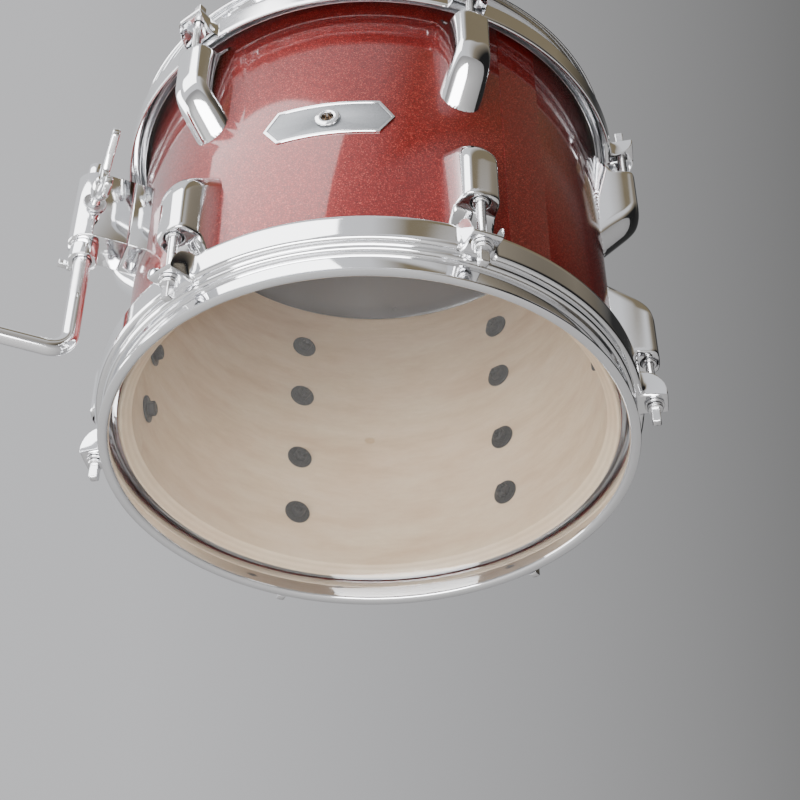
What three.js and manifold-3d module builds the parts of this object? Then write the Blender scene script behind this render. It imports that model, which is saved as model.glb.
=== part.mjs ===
// Twelve-inch rack tom drum, hung from an L-shaped holder rod. Millimetres, +Z up, batter head up.
// The origin is on the drum's axis, at the middle of the resonant (lower) head's outer face.
import * as THREE from 'three';
import { mergeVertices } from 'three/addons/utils/BufferGeometryUtils.js';
import Module from 'manifold-3d';

const wasm = await Module();
wasm.setup();

// ---- driving dimensions ----
const HEIGHT = 237.8;          // outer face of one head to outer face of the other
const GAP = 0.3;               // clearance between pieces that touch
const FILM = 0.5;              // drum head film
const SEGMENTS = 48;           // facets round the drum
const SHELL_OUTER = 151.6;
const SHELL_INNER = 143.5;
const WRAP_OUTER = 152.4;
const LUG_COLUMNS = [-120, -60, 0, 60, 120, 180];   // degrees round the axis, seen from above
const ROD_CIRCLE = 171.9;      // radius of the circle of tension rods
const LUG_SCREW_HEIGHTS = [43.5, 90.8];             // from the nearer head
const LUG_FACE = 38.5;         // height of the lug's rod end
const EAR_TOP = 6.4;           // face of the hoop's ears that the rod washers press on
const HOOP_STEEL = 2;
const BRACKET_ANGLE = -148.5;
const BRACKET_LOW = 93;
const BRACKET_HIGH = 148;
const BRACKET_HALF_WIDTH = 12.5;
const BASE_DEPTH = 11;         // thickness of the bracket base off the shell
const HOLDER_RADIUS = 5.3;     // half of the L-rod's thickness
const HOLDER_CIRCLE = 187.4;   // distance of the L-rod's upright from the drum's axis
const HOLDER_TOP = 164;
const HOLDER_LEG_HEIGHT = 8.5;
const HOLDER_LEG_REACH = 292;  // distance of the leg's free end from the drum's axis
const HOLDER_BEND = 13;        // radius of the L-rod's bend, at the middle of the rod
const WING_SCREW_HEIGHT = 119;
const VENT_ANGLE = -90;

const EDGE = FILM + GAP;       // a bearing edge's distance from the head's outer face
const FACET = 2 * Math.PI / SEGMENTS;
const BRACKET_INNER = WRAP_OUTER + GAP;
const CLAMP_INNER = BRACKET_INNER + BASE_DEPTH + GAP;

// ---- materials ----
const finish = (color, roughness, metalness) =>
  new THREE.MeshStandardMaterial({ color, roughness, metalness });
const chrome = finish(0xd8dade, 0.12, 1);
const steel = finish(0x9fa2a6, 0.3, 1);
const redSparkle = finish(0x9e1b1b, 0.25, 0.4);
const maple = finish(0xe3cba4, 0.5, 0);
const blackSteel = finish(0x1c1c1d, 0.4, 0.8);
const clearFilm = finish(0xe9e6e0, 0.15, 0);
const aluminium = finish(0xb4b6ba, 0.35, 1);
const badgeGrey = finish(0x6f7378, 0.35, 0.6);

// ---- helpers ----
const radians = (degrees) => degrees * Math.PI / 180;

function named(name, geometry, material) {
  const mesh = new THREE.Mesh(geometry, material);
  mesh.name = name;
  return mesh;
}

// A closed mesh as a solid that can be joined and cut.
function solid(geometry) {
  const plain = geometry.clone();
  plain.deleteAttribute('normal');
  plain.deleteAttribute('uv');
  const merged = mergeVertices(plain, 1e-4);
  return new wasm.Manifold(new wasm.Mesh({
    numProp: 3,
    vertProperties: new Float32Array(merged.attributes.position.array),
    triVerts: new Uint32Array(merged.index.array),
  }));
}

function geometryOf(manifold) {
  const mesh = manifold.getMesh();
  const geometry = new THREE.BufferGeometry();
  geometry.setAttribute('position', new THREE.BufferAttribute(mesh.vertProperties, 3));
  geometry.setIndex(new THREE.BufferAttribute(mesh.triVerts, 1));
  return geometry;
}

// A mirrored transform turns every face inwards; this turns them out again.
function flipped(geometry) {
  const source = mergeVertices(geometry);
  const index = source.index.array;
  for (let i = 0; i < index.length; i += 3) {
    [index[i], index[i + 1]] = [index[i + 1], index[i]];
  }
  return source;
}

const cut = (body, ...tools) =>
  geometryOf(tools.reduce((whole, tool) => whole.subtract(solid(tool)), solid(body)));
const join = (body, ...more) =>
  geometryOf(more.reduce((whole, other) => whole.add(solid(other)), solid(body)));
const common = (body, ...more) =>
  geometryOf(more.reduce((whole, other) => whole.intersect(solid(other)), solid(body)));

// Turns a closed outline of [radius, height] points about Z. The points run anticlockwise.
function turned(outline, segments, start = 0) {
  const points = outline.map(([r, z]) => new THREE.Vector2(r, z));
  const closes = outline[0][0] === 0 && outline.at(-1)[0] === 0;
  if (!closes) points.push(points[0].clone());
  return new THREE.LatheGeometry(points, segments, start).rotateX(Math.PI / 2);
}

const drumRing = (outline) => turned(outline, SEGMENTS, FACET / 2);

// A solid disc or washer-like ring about Z.
const ring = (inner, outer, low, high, segments) =>
  turned([[inner, low], [outer, low], [outer, high], [inner, high]], segments, Math.PI / segments);

const rod = (radius, low, high, segments) =>
  turned([[0, low], [radius, low], [radius, high], [0, high]], segments, Math.PI / segments);

// The drum's own outer surface, used to fit what lies against the shell.
const drumCore = (radius) =>
  drumRing([[0, -50], [radius, -50], [radius, HEIGHT + 50], [0, HEIGHT + 50]]);

const shapeOf = (points) => new THREE.Shape(points.map(([x, y]) => new THREE.Vector2(x, y)));

// A flat outline pushed out along Z, from low to high.
const prism = (shape, low, high) =>
  new THREE.ExtrudeGeometry(shape, { depth: high - low, bevelEnabled: false, curveSegments: 6 })
    .translate(0, 0, low);

// Turns a piece made along Z so that it lies along +X, its own X pointing down.
const alongX = (geometry) => geometry.rotateY(Math.PI / 2);

// Turns a piece made along Z so that it lies along +Y.
const alongY = (geometry) => geometry.rotateX(-Math.PI / 2);

const box = (x, y, z, cx, cy, cz) => new THREE.BoxGeometry(x, y, z).translate(cx, cy, cz);

// Bores through the shell wall, pointing outwards at one angle and height.
const wallBore = (radius, segments, angle, height) =>
  alongX(rod(radius, SHELL_INNER - 10, WRAP_OUTER + 10, segments))
    .rotateZ(radians(angle)).translate(0, 0, height);

// ---- shell and wrap ----
const BORE = 2.9;
const VENT_BORE = 5.8;
const BRACKET_BOLT_HEIGHTS = [BRACKET_LOW + 11, BRACKET_HIGH - 11];

function shellBores() {
  const heights = [...LUG_SCREW_HEIGHTS, ...LUG_SCREW_HEIGHTS.map((h) => HEIGHT - h)];
  const bores = LUG_COLUMNS.flatMap((angle) => heights.map((h) => wallBore(BORE, 6, angle, h)));
  for (const height of BRACKET_BOLT_HEIGHTS) {
    bores.push(wallBore(BORE + 0.7, 6, BRACKET_ANGLE, height));
  }
  bores.push(wallBore(VENT_BORE, 8, VENT_ANGLE, HEIGHT / 2));
  return bores;
}

function shell() {
  const innerBevel = EDGE + 6;
  const outerBevel = EDGE + 1.6;
  const body = drumRing([
    [SHELL_INNER, innerBevel], [149.2, EDGE], [150.4, EDGE], [SHELL_OUTER, outerBevel],
    [SHELL_OUTER, HEIGHT - outerBevel], [150.4, HEIGHT - EDGE], [149.2, HEIGHT - EDGE],
    [SHELL_INNER, HEIGHT - innerBevel],
  ]);
  return named('shell', cut(body, ...shellBores()), maple);
}

function wrap() {
  const end = EDGE + 3.4;
  const body = drumRing([
    [SHELL_OUTER + GAP, end], [WRAP_OUTER, end],
    [WRAP_OUTER, HEIGHT - end], [SHELL_OUTER + GAP, HEIGHT - end],
  ]);
  return named('wrap', cut(body, ...shellBores()), redSparkle);
}

// ---- drum head, seen as the lower one: its outer face is at height 0 ----
function film(name) {
  return named(name, drumRing([
    [0, 0], [151.4, 0], [154.2, 2.2], [155, 5], [155, 13],
    [155 - FILM, 13], [155 - FILM, 5.2], [153.6, 2.5], [151.2, FILM], [0, FILM],
  ]), clearFilm);
}

function fleshHoop(name) {
  return named(name, drumRing([[155.3, 4.8], [159.3, 4.8], [159.3, 14.2], [155.3, 14.2]]), aluminium);
}

// ---- triple-flanged hoop ----
const SKIRT_END = 23;
const EAR_REACH = 180.2;
const EAR_HALF_WIDTH = 10.5;
const NOTCH_HALF_WIDTH = 13;

// One ear at angle 0: a plate with a round end and a hole for its rod.
function ear() {
  const outline = new THREE.Shape();
  const cornerRadius = 7;
  outline.moveTo(163, -EAR_HALF_WIDTH - 2);
  outline.lineTo(EAR_REACH - cornerRadius, -EAR_HALF_WIDTH);
  outline.absarc(EAR_REACH - cornerRadius, cornerRadius - EAR_HALF_WIDTH, cornerRadius, -Math.PI / 2, 0);
  outline.absarc(EAR_REACH - cornerRadius, EAR_HALF_WIDTH - cornerRadius, cornerRadius, 0, Math.PI / 2);
  outline.lineTo(163, EAR_HALF_WIDTH + 2);
  return prism(outline, EAR_TOP, EAR_TOP + HOOP_STEEL);
}

function hoop(name) {
  const body = drumRing([
    [155.4, -13.5], [162.1, -13.5], [162.1, -11.6], [157.2, -11], [157.2, 1.8], [161.2, 2.6],
    [161.8, EAR_TOP], [165.2, EAR_TOP], [166.4, EAR_TOP + 1.2], [166.4, SKIRT_END], [164.6, SKIRT_END],
    [164.6, EAR_TOP + HOOP_STEEL], [159.8, EAR_TOP + HOOP_STEEL], [159.6, 4.5], [155.4, 4.5],
  ]);
  let whole = solid(body);
  const noSkirt = box(10, 2 * NOTCH_HALF_WIDTH, 30, 168.4, 0, EAR_TOP + HOOP_STEEL + 15);
  const rodHole = rod(3.5, 0, 20, 8).translate(ROD_CIRCLE, 0, 0);
  for (const angle of LUG_COLUMNS) {
    const turn = (geometry) => solid(geometry.clone().rotateZ(radians(angle)));
    whole = whole.subtract(turn(noSkirt)).add(turn(ear())).subtract(turn(rodHole));
  }
  return named(name, geometryOf(whole), chrome);
}

// ---- screws that hold the lugs, put in from inside the drum, with their washers ----
const WALL_FACE = SHELL_INNER * Math.cos(FACET / 2);   // the inner wall at the middle of a facet
const WASHER_FACE = WALL_FACE - GAP - 1.5;
const SCREW_RADIUS = 2.3;

const lugScrew = (height) => alongX(turned([
  [0, WASHER_FACE - 4.6], [5, WASHER_FACE - 4.6], [5, WASHER_FACE], [8.75, WASHER_FACE],
  [8.75, WALL_FACE - GAP], [SCREW_RADIUS, WALL_FACE - GAP], [SCREW_RADIUS, 160], [0, 160],
], 6, Math.PI / 6)).translate(0, 0, height);

// ---- single-ended lug at angle 0: a casting that is hollow towards the shell ----
// Its swivel nut and its two screws are joined to it.
const LUG_TIP = 22.5;          // the end of the lug's foot nearest to the hoop
const LUG_END = 102.5;           // top of the rounded end, at the wrap
const LUG_FOOT = 150;          // radius inside which the shell's own curve cuts the lug
const LUG_CREST = 178.5;
const LUG_HALF_WIDTH = 14.2;
const LUG_SLANT = 0.86;        // how far the rounded end leans back, for each millimetre off the shell
const LUG_WALL = 2.5;
const ROD_END = 56;
const NUT_RADIUS = 5;

// The rounded end, as an arch that leans back towards the middle of the crest.
function lugArch(inset) {
  const radius = LUG_HALF_WIDTH - inset;
  const arch = new THREE.Shape();
  arch.moveTo(0, -radius);
  arch.lineTo(LUG_END - LUG_HALF_WIDTH, -radius);
  arch.absarc(LUG_END - LUG_HALF_WIDTH, 0, radius, -Math.PI / 2, Math.PI / 2);
  arch.lineTo(0, radius);
  const outline = prism(arch, LUG_FOOT - inset, LUG_CREST + 5);
  const lean = new THREE.Matrix4().set(
    0, 0, 1, 0,
    0, 1, 0, 0,
    1, 0, -LUG_SLANT, LUG_SLANT * WRAP_OUTER,
    0, 0, 0, 1,
  );
  return flipped(outline.applyMatrix4(lean));
}

// The lug's outline seen from its side, from its end and from outside the drum, all crossed.
// The inset moves every face inwards, which gives the hollow.
function lugForm(inset) {
  const foot = LUG_FOOT - inset;
  const crest = LUG_CREST - inset;
  const face = LUG_FACE + inset;
  const side = prism(shapeOf([
    [foot, LUG_TIP + inset / 2], [154.6 - 0.86 * inset, LUG_TIP + inset / 2],
    [164 - 0.57 * inset, face], [crest - 1, face], [crest, 60], [crest, 110], [foot, 110],
  ]), -20, 20).rotateX(Math.PI / 2);
  const wide = LUG_HALF_WIDTH - inset;
  const section = prism(shapeOf([
    [foot, -wide], [156, -wide], [crest - 2, inset - 10], [crest, inset / 2 - 8],
    [crest, 8 - inset / 2], [crest - 2, 10 - inset], [156, wide], [foot, wide],
  ]), 0, 150);
  return common(side, lugArch(inset), section);
}

function lug(name) {
  const bosses = LUG_SCREW_HEIGHTS.map(
    (height) => alongX(rod(4.6, LUG_FOOT, LUG_CREST - 1, 8)).translate(0, 0, height));
  const outside = lugForm(0);
  const casting = join(cut(outside, lugForm(LUG_WALL)), common(outside, join(...bosses)));
  const body = cut(casting, drumCore(WRAP_OUTER + GAP));
  const nut = rod(NUT_RADIUS, LUG_FACE - 1.7, ROD_END + 3, 8).translate(ROD_CIRCLE, 0, 0);
  const whole = join(body, nut, ...LUG_SCREW_HEIGHTS.map(lugScrew));
  const rodBore = rod(3.1, 0, ROD_END + 5, 8).translate(ROD_CIRCLE, 0, 0);
  return named(name, cut(whole, rodBore), chrome);
}

// ---- tension rod and its washer ----
function tensionRod(name) {
  const shank = turned([
    [0, 1.7], [4.9, 1.7], [4.9, 4.3], [2.75, 4.3], [2.75, ROD_END], [0, ROD_END],
  ], 8, Math.PI / 8);
  const head = box(5.4, 5.4, 10.5, 0, 0, -3.35);
  return named(name, join(shank, head), chrome);
}

const rodWasher = (name) => named(name, ring(3.1, 6, 4.6, 6.1, 8), chrome);

// ---- everything at one end of the drum, seen as the lower end ----
function drumEnd(end) {
  const group = new THREE.Group();
  group.add(film(`${end}_film`), fleshHoop(`${end}_flesh_hoop`), hoop(`${end}_hoop`));
  LUG_COLUMNS.forEach((angle, i) => {
    const lugMesh = lug(`${end}_lug_${i + 1}`);
    lugMesh.rotation.z = radians(angle);
    group.add(lugMesh);
    for (const piece of [tensionRod(`${end}_rod_${i + 1}`), rodWasher(`${end}_rod_washer_${i + 1}`)]) {
      const turn = radians(angle);
      piece.position.set(ROD_CIRCLE * Math.cos(turn), ROD_CIRCLE * Math.sin(turn), 0);
      piece.rotation.z = turn;
      group.add(piece);
    }
  });
  return group;
}

// ---- badge, held by the vent grommet ----
const BADGE_HALF_LENGTH = 39.5;
const BADGE_HALF_HEIGHT = 13.4;
const BADGE_OUTER = WRAP_OUTER + GAP + 1;

function badge() {
  const plate = drumRing([
    [WRAP_OUTER + GAP, 90], [BADGE_OUTER, 90], [BADGE_OUTER, 150], [WRAP_OUTER + GAP, 150],
  ]);
  const corner = BADGE_HALF_LENGTH - 9;
  const outline = alongX(prism(shapeOf([
    [0, -BADGE_HALF_LENGTH], [BADGE_HALF_HEIGHT, -corner], [BADGE_HALF_HEIGHT, corner],
    [0, BADGE_HALF_LENGTH], [-BADGE_HALF_HEIGHT, corner], [-BADGE_HALF_HEIGHT, -corner],
  ]), 120, 170)).translate(0, 0, HEIGHT / 2).rotateZ(radians(VENT_ANGLE));
  const hole = wallBore(VENT_BORE, 8, VENT_ANGLE, HEIGHT / 2);
  return named('badge', cut(common(plate, outline), hole), badgeGrey);
}

function ventGrommet() {
  const bore = 3.6;
  const tube = 5;
  const flange = 7.6;
  const inside = WALL_FACE - GAP;
  const outside = BADGE_OUTER + GAP;
  const body = turned([
    [bore, inside - 1.2], [flange, inside - 1.2], [flange, inside], [tube, inside],
    [tube, outside], [flange, outside], [flange, outside + 1.2], [bore, outside + 1.2],
  ], 8, Math.PI / 8);
  const mesh = named('vent_grommet', alongX(body), chrome);
  mesh.rotation.z = radians(VENT_ANGLE);
  mesh.position.z = HEIGHT / 2;
  return mesh;
}

// ---- holder bracket. Its own +X points away from the drum's axis ----
const CLAMP_BOLT_BORE = 3.4;

const boltBores = () => BRACKET_BOLT_HEIGHTS.map(
  (height) => alongX(rod(CLAMP_BOLT_BORE, 130, CLAMP_INNER + 10, 8)).translate(0, 0, height));

function bracketBase() {
  const outer = BRACKET_INNER + BASE_DEPTH;
  const depth = outer - 140;
  const height = BRACKET_HIGH - BRACKET_LOW;
  const middle = (BRACKET_HIGH + BRACKET_LOW) / 2;
  const body = box(depth, 2 * BRACKET_HALF_WIDTH, height, (outer + 140) / 2, 0, middle);
  const shellSide = drumCore(BRACKET_INNER).rotateZ(-radians(BRACKET_ANGLE));
  const pocket = box(6, 16, 6, 158.6, 0, BRACKET_LOW);
  return named('bracket_base', cut(body, shellSide, pocket, ...boltBores()), chrome);
}

function bracketClamp() {
  const outline = new THREE.Shape();
  outline.moveTo(CLAMP_INNER, -BRACKET_HALF_WIDTH);
  outline.lineTo(HOLDER_CIRCLE - 2, -BRACKET_HALF_WIDTH);
  outline.absarc(HOLDER_CIRCLE - 2, 0, BRACKET_HALF_WIDTH, -Math.PI / 2, Math.PI / 2);
  outline.lineTo(CLAMP_INNER, BRACKET_HALF_WIDTH);
  const body = prism(outline, BRACKET_LOW, BRACKET_HIGH);
  const rodBore = rod(HOLDER_RADIUS + 0.5, 0, 200, 12).translate(HOLDER_CIRCLE, 0, 0);
  const screwBore = alongY(rod(3.5, 0, 30, 8)).translate(HOLDER_CIRCLE, 0, WING_SCREW_HEIGHT);
  return named('bracket_clamp', cut(body, rodBore, screwBore, ...boltBores()), chrome);
}

// A bolt from inside the drum, through the base and into the clamp.
function bracketBolt(name, height) {
  const head = WALL_FACE - GAP - 1;
  const body = alongX(turned([
    [0, head - 5], [6, head - 5], [6, head], [2.7, head], [2.7, CLAMP_INNER + 9], [0, CLAMP_INNER + 9],
  ], 6, Math.PI / 6)).translate(0, 0, height);
  return named(name, body, blackSteel);
}

function clampWasher() {
  const low = BRACKET_HALF_WIDTH + GAP;
  const mesh = named('clamp_washer', alongY(ring(3.4, 7.2, low, low + 1.5, 8)), steel);
  mesh.position.set(HOLDER_CIRCLE, 0, WING_SCREW_HEIGHT);
  return mesh;
}

// Wing screw along +Y: a shank, a hub and two wings that sweep forward.
function wingScrew() {
  const shank = rod(2.9, HOLDER_RADIUS + 0.6, 26, 8);
  const hub = turned([[0, 18.5], [4.4, 18.5], [5.6, 24], [5, 34], [0, 34]], 8, Math.PI / 8);
  const wings = prism(shapeOf([
    [-4.5, 22], [4.5, 22], [14, 31], [26, 48], [26, 55], [20, 57], [10, 47], [3, 38], [-3, 38],
    [-10, 47], [-20, 57], [-26, 55], [-26, 48], [-14, 31],
  ]), -2, 2).rotateX(Math.PI / 2);
  const tilt = radians(90);
  const mesh = named('wing_screw', alongY(join(shank, hub, wings).rotateZ(tilt)), chrome);
  mesh.position.set(HOLDER_CIRCLE, 0, WING_SCREW_HEIGHT);
  return mesh;
}

// ---- holder rod and its memory lock ----
// The rod's middle line, whose parameter gives its bend most of the steps.
class BentRod extends THREE.Curve {
  getPoint(t) {
    const steps = t * BentRod.STEPS;
    const bendTop = HOLDER_LEG_HEIGHT + HOLDER_BEND;
    const legStart = HOLDER_CIRCLE + HOLDER_BEND;
    if (steps < 1) return new THREE.Vector3(HOLDER_CIRCLE, 0, HOLDER_TOP + (bendTop - HOLDER_TOP) * steps);
    if (steps > BentRod.STEPS - 1) {
      const along = steps - BentRod.STEPS + 1;
      return new THREE.Vector3(legStart + (HOLDER_LEG_REACH - legStart) * along, 0, HOLDER_LEG_HEIGHT);
    }
    const angle = (steps - 1) / (BentRod.STEPS - 2) * Math.PI / 2;
    const x = legStart - HOLDER_BEND * Math.cos(angle);
    return new THREE.Vector3(x, 0, bendTop - HOLDER_BEND * Math.sin(angle));
  }

  getPointAt(t) {
    return this.getPoint(t);
  }

  getTangentAt(t) {
    const steps = Math.min(Math.max(t * BentRod.STEPS - 1, 0), BentRod.STEPS - 2);
    const angle = steps / (BentRod.STEPS - 2) * Math.PI / 2;
    return new THREE.Vector3(Math.sin(angle), 0, -Math.cos(angle));
  }
}
BentRod.STEPS = 8;

function holderRod() {
  const outline = new THREE.Shape().absarc(0, 0, HOLDER_RADIUS, 0, 2 * Math.PI);
  const geometry = new THREE.ExtrudeGeometry(outline, {
    steps: BentRod.STEPS, curveSegments: 6, extrudePath: new BentRod(),
  });
  return named('holder_rod', geometry, chrome);
}

// Split collar on the rod, just under the clamp, closed by a small screw behind it.
const LOCK_HIGH = BRACKET_LOW - GAP;
const LOCK_LOW = LOCK_HIGH - 12;

function memoryLock() {
  const collar = ring(HOLDER_RADIUS + 0.35, 8.6, LOCK_LOW, LOCK_HIGH, 12);
  const lip = box(8, 9, 12, 0, -11, (LOCK_LOW + LOCK_HIGH) / 2);
  const slit = box(1.6, 14, 14, 0, -13.5, (LOCK_LOW + LOCK_HIGH) / 2);
  const bore = rod(HOLDER_RADIUS + 0.35, LOCK_LOW - 1, LOCK_HIGH + 1, 12);
  const screwBore = alongX(rod(2.2, -9, 9, 8)).translate(0, -12, (LOCK_LOW + LOCK_HIGH) / 2);
  const body = join(collar, lip);
  const mesh = named('memory_lock', cut(body, bore, slit, screwBore), chrome);
  mesh.position.x = HOLDER_CIRCLE;
  return mesh;
}

function memoryLockScrew() {
  const body = turned([[0, -6], [1.8, -6], [1.8, 4.3], [3.4, 4.3], [3.4, 7], [0, 7]], 8, Math.PI / 8);
  const head = box(4, 4, 6, 0, 0, 9.5);
  const mesh = named('memory_lock_screw', alongX(join(body, head)), chrome);
  mesh.position.set(HOLDER_CIRCLE, -12, (LOCK_LOW + LOCK_HIGH) / 2);
  return mesh;
}

function bracket() {
  const group = new THREE.Group();
  group.rotation.z = radians(BRACKET_ANGLE);
  group.add(
    bracketBase(), bracketClamp(), clampWasher(), wingScrew(),
    holderRod(), memoryLock(), memoryLockScrew(),
    ...BRACKET_BOLT_HEIGHTS.map((height, i) => bracketBolt(`bracket_bolt_${i + 1}`, height)),
  );
  return group;
}

// ---- the drum ----
const batterEnd = drumEnd('batter');
batterEnd.rotation.x = Math.PI;
batterEnd.position.z = HEIGHT;

const tom = new THREE.Group();
tom.name = 'rack_tom';
tom.add(shell(), wrap(), drumEnd('resonant'), batterEnd, badge(), ventGrommet(), bracket());

export default tom;
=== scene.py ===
"""Looks of a twelve-inch rack tom drum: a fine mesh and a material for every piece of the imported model.

Shapes are worked out in millimetres, in the same frame as the CAD, and scaled to metres as a mesh is made.
"End-local" heights count from a head's outer face towards the middle of the shell.
"""
import math

import bmesh
import bpy
import numpy as np
from mathutils import Matrix, Vector


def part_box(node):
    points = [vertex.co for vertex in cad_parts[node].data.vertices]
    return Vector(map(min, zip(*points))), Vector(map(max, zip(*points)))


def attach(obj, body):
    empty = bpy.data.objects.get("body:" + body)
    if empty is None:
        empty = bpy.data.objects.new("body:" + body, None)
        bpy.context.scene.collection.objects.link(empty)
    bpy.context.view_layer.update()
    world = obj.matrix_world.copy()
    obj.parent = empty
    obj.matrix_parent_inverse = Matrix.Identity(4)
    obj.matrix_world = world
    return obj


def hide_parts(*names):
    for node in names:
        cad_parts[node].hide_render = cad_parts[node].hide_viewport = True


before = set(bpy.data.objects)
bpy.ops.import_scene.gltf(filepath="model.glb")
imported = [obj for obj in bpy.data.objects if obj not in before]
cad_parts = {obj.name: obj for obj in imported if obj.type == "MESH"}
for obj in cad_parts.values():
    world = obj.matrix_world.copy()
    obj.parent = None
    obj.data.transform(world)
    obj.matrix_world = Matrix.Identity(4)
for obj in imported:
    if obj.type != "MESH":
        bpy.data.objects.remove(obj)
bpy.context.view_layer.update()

MM = 0.001
TAU = 2 * math.pi

# ---- driving sizes, in millimetres ----
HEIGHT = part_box("batter_film")[1].z / MM       # outer face of one head to outer face of the other
SHELL_OUTER = 151.6
SHELL_INNER = 143.5
WRAP_OUTER = 152.4
WRAP_EDGE = 4.2                                # end-local height of the wrap's border
COLUMNS = [-120, -60, 0, 60, 120, 180]         # degrees round the axis of each lug and rod
ROD_CIRCLE = 171.9
LUG_SCREWS = [43.5, 90.8]                      # end-local heights
EAR_PLANE = 7.4                                # middle of the hoop's steel at its ears
HOOP_STEEL = 2.0
STRIP_START = 163.4                            # where the outer flange leaves the ear plane
STRIP_LENGTH = 15.8
STRIP_FINE = 5.4                               # how much of it bends, and is sampled finely
BRACKET_ANGLE = -148.5
BRACKET_LOW = 93.0
BRACKET_HIGH = 148.0
BRACKET_HALF = 12.5
BRACKET_BOLTS = [104.0, 137.0]
BRACKET_INNER = 144.0                          # before the shell's round is cut away
BRACKET_OUTER = 163.8
CLAMP_INNER = 164.0
HOLDER_RADIUS = 5.3
HOLDER_CIRCLE = 187.4
HOLDER_TOP = 164.0
HOLDER_LEG = 8.5                               # height of the middle of the leg
HOLDER_REACH = 292.0                           # from the drum's axis to the leg's end
HOLDER_BEND = 13.0
WING_HEIGHT = 119.0
WING_TILT = 90                                 # degrees that the wings are turned from level
VENT_ANGLE = -90
VENT_HEIGHT = HEIGHT / 2
SCREW_HOLE = 2.9                               # radii of the holes in the shell
BOLT_HOLE = 3.4
VENT_HOLE = 5.6
BADGE_INNER = WRAP_OUTER + 0.3


# ---- mesh helpers ----
def turn_z(degrees):
    return Matrix.Rotation(math.radians(degrees), 4, "Z")


def shift(x, y, z):
    return Matrix.Translation((x * MM, y * MM, z * MM))


def along_x():
    """Lays a piece made along +Z along +X."""
    return Matrix.Rotation(math.pi / 2, 4, "Y")


def along_y():
    return Matrix.Rotation(-math.pi / 2, 4, "X")


ENDS = {
    "resonant": Matrix.Identity(4),
    "batter": Matrix.Translation((0, 0, HEIGHT * MM)) @ Matrix.Rotation(math.pi, 4, "X"),
}


def make_mesh(name, points, faces, sharp=40):
    """A smooth mesh from points in millimetres, with doubled points merged and faces pointing out."""
    mesh = bpy.data.meshes.new(name)
    mesh.from_pydata((np.asarray(points, float) * MM).tolist(), [], faces)
    work = bmesh.new()
    work.from_mesh(mesh)
    bmesh.ops.remove_doubles(work, verts=work.verts, dist=1e-7)
    bmesh.ops.dissolve_degenerate(work, edges=work.edges, dist=1e-8)
    bmesh.ops.recalc_face_normals(work, faces=work.faces)
    work.to_mesh(mesh)
    work.free()
    shade(mesh, sharp)
    return mesh


def shade(mesh, sharp=40):
    mesh.shade_smooth()
    mesh.set_sharp_from_angle(angle=math.radians(sharp))


def grid_faces(rows, columns, rows_close, columns_close):
    """Quads of a grid whose points are listed row by row."""
    faces = []
    for i in range(rows if rows_close else rows - 1):
        for j in range(columns if columns_close else columns - 1):
            a, b = i * columns, ((i + 1) % rows) * columns
            k = (j + 1) % columns
            faces.append((a + j, a + k, b + k, b + j))
    return faces


def arc(cx, cy, radius, start, end, steps):
    angles = np.radians(np.linspace(start, end, steps + 1))
    return [(cx + radius * math.cos(a), cy + radius * math.sin(a)) for a in angles]


def filleted(points, radius, steps=5, closed=False):
    """The outline with its corners rounded. radius is one number, or one for each point."""
    count = len(points)
    radii = radius if hasattr(radius, "__len__") else [radius] * count
    out = []
    for i, p in enumerate(points):
        if radii[i] <= 0 or not closed and i in (0, count - 1):
            out.append(tuple(p))
            continue
        here = Vector(p)
        back, on = Vector(points[i - 1]) - here, Vector(points[(i + 1) % count]) - here
        half = back.angle(on) / 2
        reach = min(radii[i] / math.tan(half), 0.49 * back.length, 0.49 * on.length)
        first, last = here + back.normalized() * reach, here + on.normalized() * reach
        size = reach * math.tan(half)
        centre = here + (back.normalized() + on.normalized()).normalized() * (size / math.sin(half))
        a, b = first - centre, last - centre
        swing = a.angle_signed(b) if a.length * b.length else 0
        for k in range(steps + 1):
            c, s = math.cos(-swing * k / steps), math.sin(-swing * k / steps)
            out.append((centre.x + a.x * c - a.y * s, centre.y + a.x * s + a.y * c))
    return out


def band(path, thickness, cap=3):
    """A closed outline round a middle line, with round ends."""
    line = np.asarray(path, float)
    step = np.gradient(line, axis=0)
    step /= np.linalg.norm(step, axis=1)[:, None]
    normal = np.column_stack([-step[:, 1], step[:, 0]])
    half = thickness / 2
    ends = []
    for point, ahead, side in ((line[-1], step[-1], normal[-1]), (line[0], -step[0], -normal[0])):
        angles = np.linspace(0, math.pi, cap + 2)[1:-1]
        ends.append([point + half * (side * math.cos(a) + ahead * math.sin(a)) for a in angles])
    return [*(line + half * normal), *ends[0], *(line - half * normal)[::-1], *ends[1]]


def lathe(outline, segments=96):
    """Points and faces of a closed outline of (radius, height) turned about Z."""
    angles = np.arange(segments) * TAU / segments
    r, z = np.asarray(outline, float).T
    points = np.stack([np.outer(np.cos(angles), r), np.outer(np.sin(angles), r),
                       np.broadcast_to(z, (segments, len(z)))], axis=2).reshape(-1, 3)
    return points, grid_faces(segments, len(r), True, True)


def turned(name, outline, segments=96, sharp=40):
    return make_mesh(name, *lathe(outline, segments), sharp)


def extruded(name, outline, low, high, bevel, segments=3):
    """A flat outline pushed out along Z, with all of its sharp edges rounded."""
    count = len(outline)
    points = [(x, y, z) for z in (low, high) for x, y in outline]
    faces = [tuple(range(count))[::-1], tuple(range(count, 2 * count))]
    faces += [(i, (i + 1) % count, count + (i + 1) % count, count + i) for i in range(count)]
    mesh = make_mesh(name, points, faces)
    return bevelled(mesh, bevel, segments) if bevel else mesh


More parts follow.
